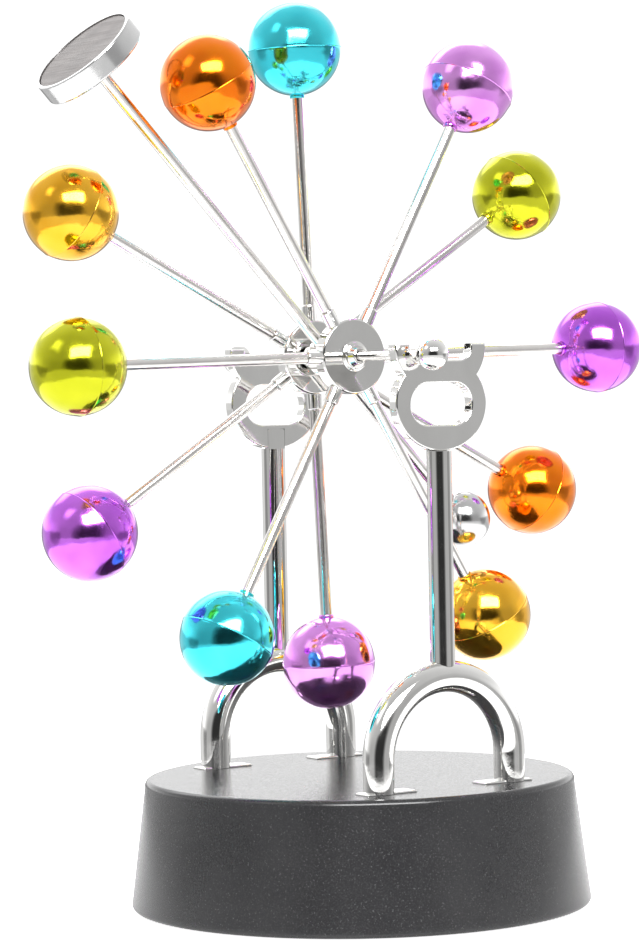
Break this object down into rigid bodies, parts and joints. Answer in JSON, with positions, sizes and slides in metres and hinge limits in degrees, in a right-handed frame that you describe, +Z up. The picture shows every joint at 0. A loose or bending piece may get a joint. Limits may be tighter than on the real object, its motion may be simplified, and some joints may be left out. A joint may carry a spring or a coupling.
{
  "type": "electromagnetic kinetic wheel",
  "caption": "Desk toy: a spoked wheel of coloured balls with a magnet pendulum, its axle lying in two chrome supports on a round black base that drives it.",
  "frame": {"origin": "under the middle of the round base, on the plane that its rubber feet stand on", "axes": "+Z up along the base's axis; the wheel turns in the XZ plane; +Y runs along the axle from the front support to the rear one"},
  "size_m": [0.185, 0.12, 0.2356],
  "materials": {
    "black_plastic": "fine spark-eroded texture, charcoal black",
    "black_rubber": "plain matt",
    "grey_plastic": "moulded",
    "white_nylon": "natural nylon",
    "green_board": "glass-fibre board with green solder mask",
    "battery_wrap": "plain printed-free metal jacket",
    "copper_wire": "enamelled copper wire, close wound",
    "zinc_steel": "zinc plated",
    "chrome": "bright chrome plate",
    "bright_steel": "bright drawn and plated rod",
    "silver_plate": "nickel plate, slightly satin",
    "magnet_grey": "bare ferrite magnet face",
    "ball_purple": "tinted metallised lacquer, mirror bright",
    "ball_magenta": "tinted metallised lacquer, mirror bright",
    "ball_orange": "tinted metallised lacquer, mirror bright",
    "ball_lime": "tinted metallised lacquer, mirror bright",
    "ball_cyan": "tinted metallised lacquer, mirror bright",
    "ball_gold": "tinted metallised lacquer, mirror bright"
  },
  "bodies": {
    "root": {"base_shell": "black_plastic", "bottom_cover": "black_plastic", "circuit_board": "green_board", "coil_bobbin": "white_nylon", "coil_winding": "copper_wire", "coil_core": "zinc_steel", "battery": "battery_wrap", "battery_snap": "black_rubber", "cover_screw_1": "zinc_steel", "cover_screw_2": "zinc_steel", "cover_screw_3": "zinc_steel", "rubber_foot_1": "black_rubber", "rubber_foot_2": "black_rubber", "rubber_foot_3": "black_rubber", "front_arch": "chrome", "rear_arch": "chrome", "front_post": "chrome", "rear_post": "chrome", "front_cradle_plate": "chrome", "rear_cradle_plate": "chrome"},
    "axle_carriage": {"front_axle_ball": "chrome", "rear_axle_ball": "chrome"},
    "wheel": {"axle_shaft": "bright_steel", "front_hub": "chrome", "rear_hub": "chrome", "pendulum_boss": "chrome", "pendulum_rod": "bright_steel", "magnet_cup": "silver_plate", "magnet_disc": "magnet_grey", "counterweight_rod": "bright_steel", "counterweight_ball": "silver_plate", "front_arm_purple": "bright_steel", "front_arm_magenta": "bright_steel", "front_arm_orange": "bright_steel", "front_arm_lime": "bright_steel", "front_arm_cyan": "bright_steel", "front_arm_gold": "bright_steel", "rear_arm_lime": "bright_steel", "rear_arm_cyan": "bright_steel", "rear_arm_gold": "bright_steel", "rear_arm_purple": "bright_steel", "rear_arm_magenta": "bright_steel", "rear_arm_orange": "bright_steel", "front_ball_purple": "ball_purple", "front_ball_magenta": "ball_magenta", "front_ball_orange": "ball_orange", "front_ball_lime": "ball_lime", "front_ball_cyan": "ball_cyan", "front_ball_gold": "ball_gold", "rear_ball_lime": "ball_lime", "rear_ball_cyan": "ball_cyan", "rear_ball_gold": "ball_gold", "rear_ball_purple": "ball_purple", "rear_ball_magenta": "ball_magenta", "rear_ball_orange": "ball_orange"},
    "battery_lid": {"battery_door": "black_plastic"},
    "switch_knob": {"switch_slider": "grey_plastic"}
  },
  "joints": [
    {"name": "axle_roll", "type": "slide", "parent": "root", "child": "axle_carriage", "axis": [1, 0, 0], "range_m": [0, 0.0128]},
    {"name": "wheel_spin", "type": "hinge", "parent": "axle_carriage", "child": "wheel", "pos_m": [-0.0064, 0, 0.1432], "axis": [0, -1, 0], "continuous": true},
    {"name": "battery_door_swing", "type": "hinge", "parent": "root", "child": "battery_lid", "pos_m": [0, -0.0149, 0.0008], "axis": [1, 0, 0], "range_deg": [0, 100]},
    {"name": "power_switch_slide", "type": "slide", "parent": "root", "child": "switch_knob", "axis": [1, 0, 0], "range_m": [-0.003, 0]}
  ]
}
